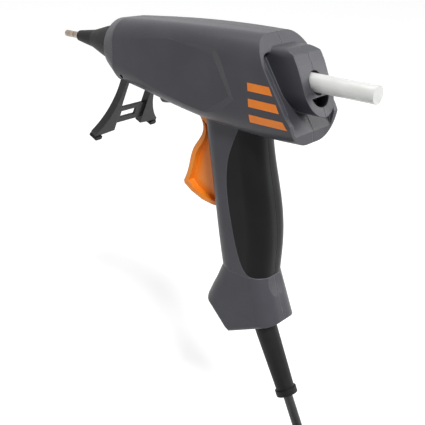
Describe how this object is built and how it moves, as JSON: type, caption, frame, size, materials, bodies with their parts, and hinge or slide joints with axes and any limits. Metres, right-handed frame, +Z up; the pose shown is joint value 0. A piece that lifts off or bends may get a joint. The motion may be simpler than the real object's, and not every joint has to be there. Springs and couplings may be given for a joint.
{
  "type": "hot-melt glue gun",
  "caption": "Pistol-shaped hot-melt glue gun with trigger feed, glue stick, fold-out stand and mains cord.",
  "frame": {"origin": "middle of the hand grip, on the parting plane", "axes": "+X forward along the barrel to the nozzle, +Y to the gun's left, +Z up"},
  "size_m": [0.3338, 0.1094, 0.3265],
  "materials": {
    "grey_shell": "fine matt texture, glass-filled polyamide",
    "black_grip": "soft matt elastomer",
    "orange_plastic": "satin polyamide",
    "black_silicone": "silicone rubber, satin",
    "black_plastic": "fine matt",
    "nozzle_steel": "heat tinted, turned",
    "steel": "zinc plated",
    "cast_aluminium": "die cast",
    "ceramic": "ceramic heater in insulating film",
    "nylon": "natural nylon",
    "glue": "translucent hot-melt glue",
    "wire_sheath": "silicone insulated"
  },
  "bodies": {
    "gun": {"housing_left": "grey_shell", "housing_right": "grey_shell", "grip_left": "black_grip", "grip_right": "black_grip", "front_ring": "grey_shell", "nozzle_shroud": "black_silicone", "nozzle": "nozzle_steel", "check_ball": "steel", "check_spring": "steel", "melt_chamber": "cast_aluminium", "heater": "ceramic", "heater_clip": "steel", "inlet_sleeve": "black_silicone", "sleeve_clamp": "steel", "trigger_pin": "steel", "return_spring": "steel", "stand_pins": "steel", "housing_screws": "steel", "strain_relief": "black_silicone", "cord_entry": "black_silicone", "cord_clamp": "black_plastic", "clamp_screws": "steel", "terminal_block": "nylon", "wires": "wire_sheath", "cord_tube": "black_silicone", "cord_coil": "black_silicone", "plug_body": "black_plastic", "plug_pins": "nozzle_steel"},
    "trigger": {"trigger": "orange_plastic"},
    "feed_carriage": {"feed_carriage": "nylon", "clamp_jaw": "steel", "jaw_pin": "steel"},
    "glue_stick": {"glue_stick": "glue"},
    "stand": {"stand": "black_plastic", "foot_left": "black_grip", "foot_right": "black_grip"}
  },
  "joints": [
    {"name": "trigger_pull", "type": "hinge", "parent": "gun", "child": "trigger", "pos_m": [0.038, 0, 0.071], "axis": [0, 1, 0], "range_deg": [0, 18], "stiffness_Nm_per_rad": 1.2, "springref_deg": -14.32, "deforming": ["return_spring"]},
    {"name": "feed_slide", "type": "slide", "parent": "gun", "child": "feed_carriage", "axis": [1, 0, 0], "range_m": [0, 0.0071]},
    {"name": "stick_feed", "type": "slide", "parent": "gun", "child": "glue_stick", "axis": [1, 0, 0], "range_m": [0, 0.0071]},
    {"name": "stand_fold", "type": "hinge", "parent": "gun", "child": "stand", "pos_m": [0.1015, 0, 0.078], "axis": [0, 1, 0], "range_deg": [0, 80]}
  ],
  "couplings": [
    {"joint": "feed_slide", "follows": "trigger_pull", "m_per_rad": 0.0223},
    {"joint": "stick_feed", "follows": "trigger_pull", "m_per_rad": 0.0223}
  ]
}
